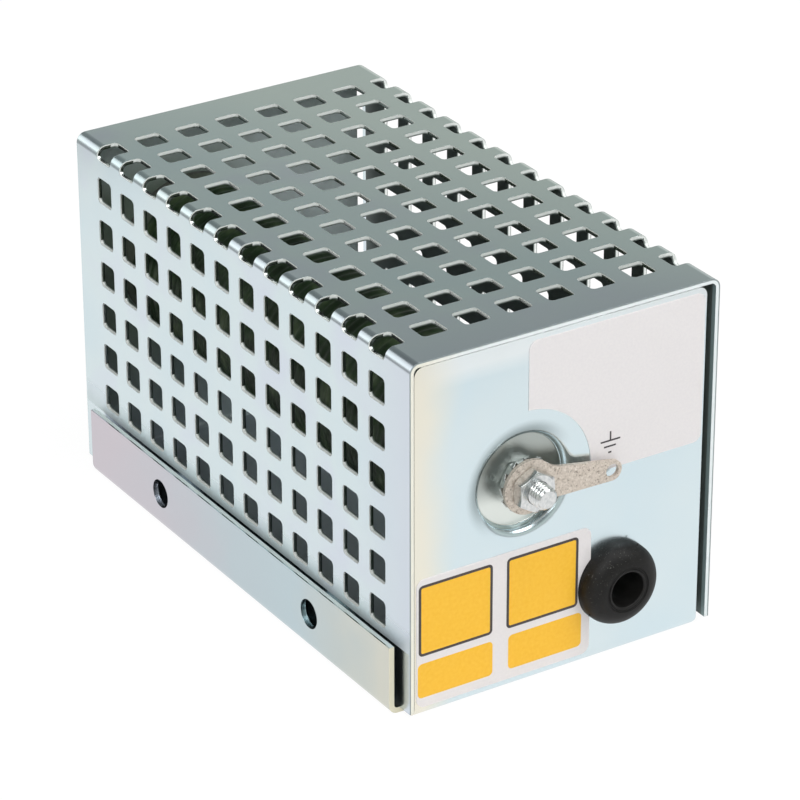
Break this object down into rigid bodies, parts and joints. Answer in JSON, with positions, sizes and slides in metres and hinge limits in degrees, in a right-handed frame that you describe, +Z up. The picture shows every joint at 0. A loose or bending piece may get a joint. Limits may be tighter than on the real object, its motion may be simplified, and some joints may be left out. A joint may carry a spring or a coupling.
{
  "type": "enclosure heater",
  "caption": "Anti-condensation enclosure heater: perforated steel cover on a folded chassis with a wirewound heater tube, earth stud and cable grommet.",
  "frame": {"origin": "centre of the underside of the chassis floor", "axes": "+Z up, +Y along the case from the front plate to the rear plate, +X to the right seen from the front"},
  "size_m": [0.0787, 0.1462, 0.0795],
  "materials": {
    "zinc_plate": "satin",
    "plated_hardware": "gloss",
    "lug_steel": "satin",
    "green_enamel": "gloss",
    "mica": "satin",
    "tinned_brass": "satin",
    "black_rubber": "matte",
    "glass_sleeve": "matte",
    "porcelain": "gloss",
    "brass": "satin",
    "label_stock": "matte"
  },
  "bodies": {
    "root": {"chassis": "zinc_plate", "perforated_cover": "zinc_plate", "heating_element": "green_enamel", "front_mica_washer": "mica", "rear_mica_washer": "mica", "tie_rod": "plated_hardware", "thin_nut": "plated_hardware", "front_tooth_washer": "plated_hardware", "earth_tag": "tinned_brass", "earth_nut": "plated_hardware", "rear_tooth_washer": "plated_hardware", "rear_nut": "plated_hardware", "grommet": "black_rubber", "front_lug": "lug_steel", "rear_lug": "lug_steel", "lead_eyes": "plated_hardware", "lug_screws": "plated_hardware", "lug_nuts": "plated_hardware", "front_lead": "glass_sleeve", "rear_lead": "glass_sleeve", "terminal_block": "porcelain", "left_insert": "brass", "right_insert": "brass", "terminal_screws": "plated_hardware", "block_screw": "plated_hardware", "cover_screws": "plated_hardware", "rating_label": "label_stock", "lower_label": "label_stock"}
  },
  "joints": []
}
